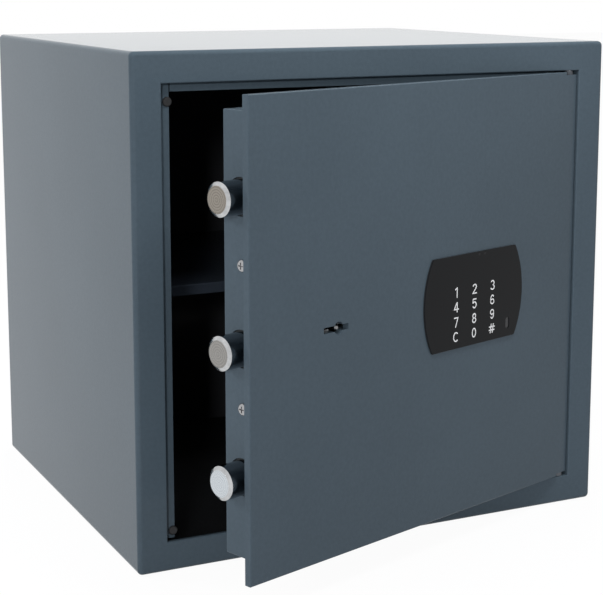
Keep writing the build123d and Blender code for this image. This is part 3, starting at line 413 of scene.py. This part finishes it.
STROKE = 0.125  # of the figures' height
WIDEN = (1.2, 1.0)
ROWS = ("123", "456", "789", "C0#")
COLUMN_PLACES = (0.0322, 0.0543, 0.0766)
ROW_PLACES = (0.2080, 0.1961, 0.1841, 0.1722)
FIGURE_HEIGHT = 0.0084
FIGURE_PROUD = 0.00006
FIGURES = {
    "1": [line(0.07, -0.50, 0.07, 0.50), line(-0.17, 0.27, 0.02, 0.40)],
    "2": [
        np.vstack((bow(0.0, 0.21, 0.20, 0.21, 172, -30), [(-0.02, -0.16), (-0.17, -0.36)])),
        line(-0.27, -0.42, 0.27, -0.42),
    ],
    "3": [bow(0.0, 0.22, 0.18, 0.20, 160, -90), bow(0.0, -0.20, 0.21, 0.22, 90, -165)],
    "4": [
        line(0.06, 0.45, -0.24, -0.16),
        line(-0.29, -0.19, 0.29, -0.19),
        line(0.10, 0.50, 0.10, -0.50),
    ],
    "5": [
        line(-0.19, 0.42, 0.23, 0.42),
        line(-0.16, 0.45, -0.20, 0.02),
        bow(0.0, -0.14, 0.21, 0.28, 140, -155),
    ],
    "6": curl(1),
    "7": [line(-0.26, 0.42, 0.26, 0.42), line(0.21, 0.40, -0.07, -0.50)],
    "8": [bow(0.0, 0.22, 0.17, 0.20, 0, 360), bow(0.0, -0.20, 0.20, 0.22, 0, 360)],
    "9": curl(-1),
    "0": [bow(0.0, 0.0, 0.20, 0.42, 0, 360)],
    "C": [bow(0.0, 0.0, 0.27, 0.42, 42, 318)],
    "#": [
        line(-0.20, -0.46, -0.06, 0.46),
        line(0.06, -0.46, 0.20, 0.46),
        line(-0.34, 0.16, 0.36, 0.16),
        line(-0.36, -0.16, 0.34, -0.16),
    ],
}


def keypad_figures():
    """The twelve printed figures in four rows, a hair's breadth proud of the panel."""
    points, faces, start = [], [], 0
    for row, z in zip(ROWS, ROW_PLACES):
        for figure, x in zip(row, COLUMN_PLACES):
            for path in FIGURES[figure]:
                flat = ribbon(path * WIDEN, STROKE) * FIGURE_HEIGHT
                depth = np.full(len(flat), PANEL_FRONT - FIGURE_PROUD)
                points.append(np.column_stack((x + flat[:, 0], depth, z + flat[:, 1])))
                steps = range(start, start + len(flat) - 2, 2)
                faces += [(step, step + 1, step + 3, step + 2) for step in steps]
                start += len(flat)
    mesh = bpy.data.meshes.new("keypad_figures")
    mesh.from_pydata(on_door(np.vstack(points)).tolist(), [], faces)
    return bpy.data.objects.new("keypad_figures", mesh)


figures = keypad_figures()
bpy.context.scene.collection.objects.link(figures)
ink = Finish("white_ink", (0.80, 0.81, 0.82), 0.5)
speckle = ink.noise(ink.place(), 3000.0)
ink.feed("Roughness", 0.45 + speckle * 0.1)
dress(figures, ink)
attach(figures, "door")


# ---- floor, light and camera -------------------------------------------------------------------


def quad(name, corners):
    """One flat face."""
    mesh = bpy.data.meshes.new(name)
    mesh.from_pydata(corners, [], [(0, 1, 2, 3)])
    piece = bpy.data.objects.new(name, mesh)
    bpy.context.scene.collection.objects.link(piece)
    return piece


WHITE = (1.0, 1.0, 1.0, 1.0)
AMBIENT = 0.3  # how much of the white room's light falls on the object
FLOOR_GLOW = 1.04
FLOOR_SHOWN = 0.92  # the share of the glow where the floor shows; its shadows have the rest
LAMPS = {  # place, target, size and power
    "key_lamp": ((-1.65, -2.8, 1.02), (-0.05, -0.1, 0.2), 0.35, 42.0),
    "top_lamp": ((0.0, 0.15, 1.7), (0.0, 0.05, 0.0), 0.6, 12.0),
    "side_lamp": ((-1.15, 0.65, 0.85), (-0.2, 0.0, 0.28), 0.4, 7.0),
    "left_lamp": ((-1.9, -1.1, 1.1), (-0.2, -0.1, 0.3), 0.35, 9.0),
    "near_lamp": ((0.05, -0.45, 0.8), (0.03, -0.181, 0.4), 0.2, 2.0),
}
EYE = (-0.5838, -1.2414, 0.4544)
EYE_TURN = -0.4497
EYE_DOWN = 0.1611
EYE_SHIFT = -0.12
FOCAL_LENGTH = 1537.0  # in the frame's pixels
FRAME_WIDTH = 603
SENSOR_WIDTH = 36.0


def studio():
    """A pale floor in a white room. Metal mirrors their white, and less of it lights the object."""
    signs = ((-1, -1), (1, -1), (1, 1), (-1, 1))
    floor = quad("floor", [(a * FLOOR_REACH, b * FLOOR_REACH, FLOOR_HEIGHT) for a, b in signs])
    white = Finish("floor_white", (0.6, 0.6, 0.63), 0.9)
    glow = white.node("ShaderNodeEmission", None, {"Color": WHITE, "Strength": FLOOR_GLOW})
    mix = white.node("ShaderNodeMixShader", None, {0: white.shown() * FLOOR_SHOWN})
    white.tree.links.new(white.shader.outputs[0], mix.inputs[1])
    white.tree.links.new(glow.outputs[0], mix.inputs[2])
    output = white.tree.nodes["Material Output"]
    white.tree.links.new(mix.outputs[0], output.inputs["Surface"])
    dress(floor, white)

    world = bpy.data.worlds.new("studio")
    world.use_nodes = True
    bpy.context.scene.world = world
    room = Wiring(world.node_tree)
    strength = room.between(room.shown(), 0.0, 1.0, AMBIENT, 1.0)
    backdrop = room.tree.nodes["Background"]
    backdrop.inputs["Color"].default_value = WHITE
    room.tree.links.new(strength.socket, backdrop.inputs["Strength"])


def lamp(name, place, target, size, power):
    """A soft square lamp turned towards a point. Glossy faces mirror the room in its place."""
    light = bpy.data.lights.new(name, "AREA")
    light.shape = "SQUARE"
    light.size = size
    light.energy = power
    piece = bpy.data.objects.new(name, light)
    towards = np.array(target) - np.array(place)
    flat = math.hypot(towards[0], towards[1])
    piece.visible_camera = False
    piece.visible_glossy = False
    piece.location = place
    piece.rotation_euler = (math.atan2(flat, -towards[2]), 0, math.atan2(-towards[0], towards[1]))
    bpy.context.scene.collection.objects.link(piece)


def viewpoint():
    """The camera, below eye height and to the lock side of the door."""
    camera = bpy.data.cameras.new("camera")
    camera.sensor_width = SENSOR_WIDTH
    camera.lens = FOCAL_LENGTH / FRAME_WIDTH * SENSOR_WIDTH
    camera.shift_y = EYE_SHIFT
    eye = bpy.data.objects.new("camera", camera)
    eye.location = EYE
    eye.rotation_euler = (math.pi / 2 - EYE_DOWN, 0, EYE_TURN)
    bpy.context.scene.collection.objects.link(eye)
    bpy.context.scene.camera = eye


studio()
for name, (place, target, size, power) in LAMPS.items():
    lamp(name, place, target, size, power)
viewpoint()
bpy.context.scene.view_settings.view_transform = "Standard"
